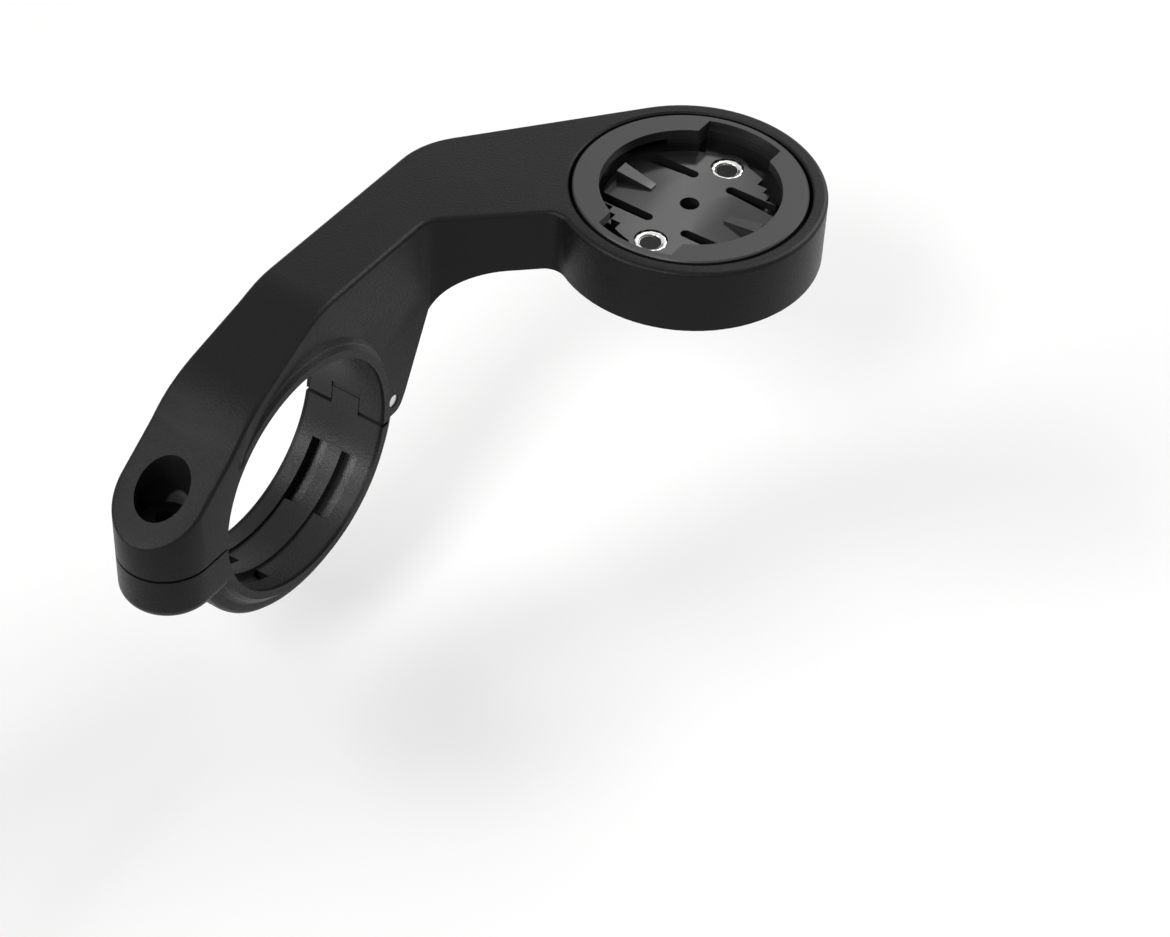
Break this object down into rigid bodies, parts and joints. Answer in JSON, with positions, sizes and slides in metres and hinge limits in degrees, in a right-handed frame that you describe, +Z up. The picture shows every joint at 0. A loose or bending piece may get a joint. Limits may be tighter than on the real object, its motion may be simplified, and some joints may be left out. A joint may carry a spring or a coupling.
{
  "type": "bike computer mount",
  "caption": "Out-front handlebar mount: hinged ring clamp with a cranked arm that carries a round quarter-turn socket for a bike computer.",
  "frame": {"origin": "centre of the handlebar bore, at the middle of the clamp's width", "axes": "+X along the handlebar, +Y forward to the computer's socket, +Z up"},
  "size_m": [0.057, 0.1054, 0.0471],
  "materials": {
    "black_nylon": "fine matt moulded glass-filled nylon",
    "satin_black": "smooth satin moulded nylon",
    "black_steel": "black oxide screw steel",
    "bright_steel": "ground steel pin",
    "nickel": "nickel-plated brass"
  },
  "bodies": {
    "mount": {"arm": "black_nylon", "hinge_pin": "bright_steel", "quarter_turn_disc": "satin_black", "threaded_insert_front": "nickel", "threaded_insert_rear": "nickel", "disc_screw_front": "black_steel", "disc_screw_rear": "black_steel"},
    "strap": {"clamp_strap": "black_nylon", "clamp_nut": "black_steel"},
    "screw": {"clamp_screw": "black_steel"}
  },
  "joints": [
    {"name": "strap_swing", "type": "hinge", "parent": "mount", "child": "strap", "pos_m": [0, 0.0199, -0.001], "axis": [1, 0, 0], "range_deg": [0, 65]},
    {"name": "screw_withdraw", "type": "slide", "parent": "mount", "child": "screw", "axis": [0, 0, 1], "range_m": [0, 0.012]}
  ]
}
